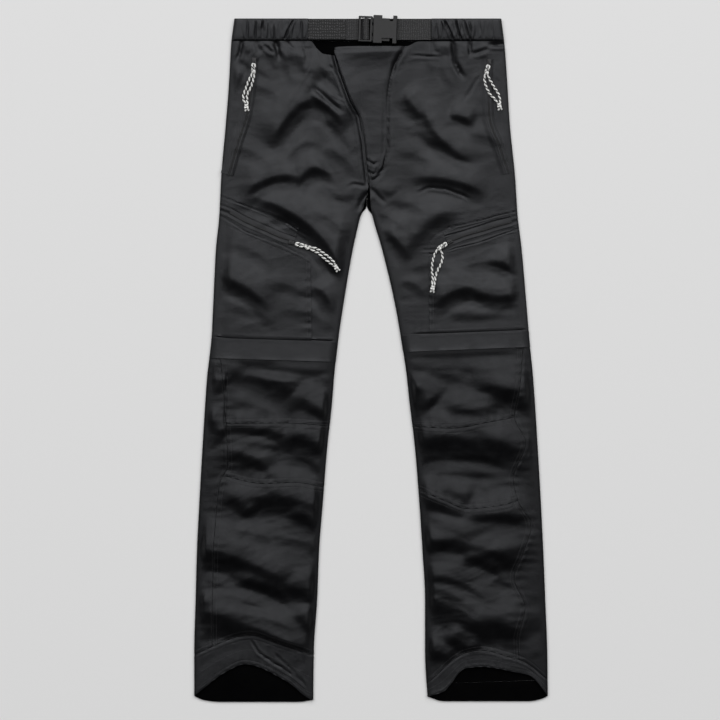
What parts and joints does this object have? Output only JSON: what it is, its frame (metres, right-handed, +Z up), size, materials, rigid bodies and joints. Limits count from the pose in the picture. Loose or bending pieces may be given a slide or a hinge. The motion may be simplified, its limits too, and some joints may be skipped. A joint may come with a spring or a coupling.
{
  "type": "convertible zip-off trousers",
  "caption": "Trousers laid flat, with gathered waist, buckled webbing belt, zipped hand and thigh pockets with cord pulls, and lower legs that zip off under storm flaps.",
  "frame": {"origin": "on the surface the trousers lie on, under the middle of their box", "axes": "+X to the wearer's left, +Y towards the waist, +Z up, out of the front of the trousers"},
  "size_m": [0.5379, 1.0439, 0.0171],
  "materials": {
    "nylon": "fine plain weave with a soft sheen",
    "zip_tape": "woven tape with coil teeth",
    "webbing": "coarse ribbed webbing",
    "buckle_plastic": "matte moulded",
    "slider_metal": "dark lacquer",
    "cord": "white braid with black flecks"
  },
  "bodies": {
    "root": {"back_left": "nylon", "back_right": "nylon", "belt_elastic": "webbing", "belt_left": "webbing", "belt_right": "webbing", "buckle_plug": "buckle_plastic", "buckle_socket": "buckle_plastic", "fly_flap": "nylon", "fly_underlap": "nylon", "front_left": "nylon", "front_right": "nylon", "hand_zip_left": "zip_tape", "hand_zip_right": "zip_tape", "hem_left": "nylon", "hem_right": "nylon", "knee_flap_left": "nylon", "knee_flap_right": "nylon", "knee_panel_left": "nylon", "knee_panel_right": "nylon", "knee_zip_left": "zip_tape", "knee_zip_right": "zip_tape", "lower_back_left": "nylon", "lower_back_right": "nylon", "pull_hand_left_a": "cord", "pull_hand_left_b": "cord", "pull_hand_left_head": "cord", "pull_hand_left_knot": "cord", "pull_hand_right_a": "cord", "pull_hand_right_b": "cord", "pull_hand_right_head": "cord", "pull_hand_right_knot": "cord", "pull_thigh_left_a": "cord", "pull_thigh_left_b": "cord", "pull_thigh_left_head": "cord", "pull_thigh_left_knot": "cord", "pull_thigh_right_a": "cord", "pull_thigh_right_b": "cord", "pull_thigh_right_head": "cord", "pull_thigh_right_knot": "cord", "shin_lower_left": "nylon", "shin_lower_right": "nylon", "shin_upper_left": "nylon", "shin_upper_right": "nylon", "slider_hand_left": "slider_metal", "slider_hand_right": "slider_metal", "slider_thigh_left": "slider_metal", "slider_thigh_right": "slider_metal", "thigh_pocket_left": "nylon", "thigh_pocket_right": "nylon", "thigh_welt_left": "nylon", "thigh_welt_right": "nylon", "thigh_zip_left": "zip_tape", "thigh_zip_right": "zip_tape", "waistband_back": "nylon", "waistband_left": "nylon", "waistband_right": "nylon"}
  },
  "joints": []
}
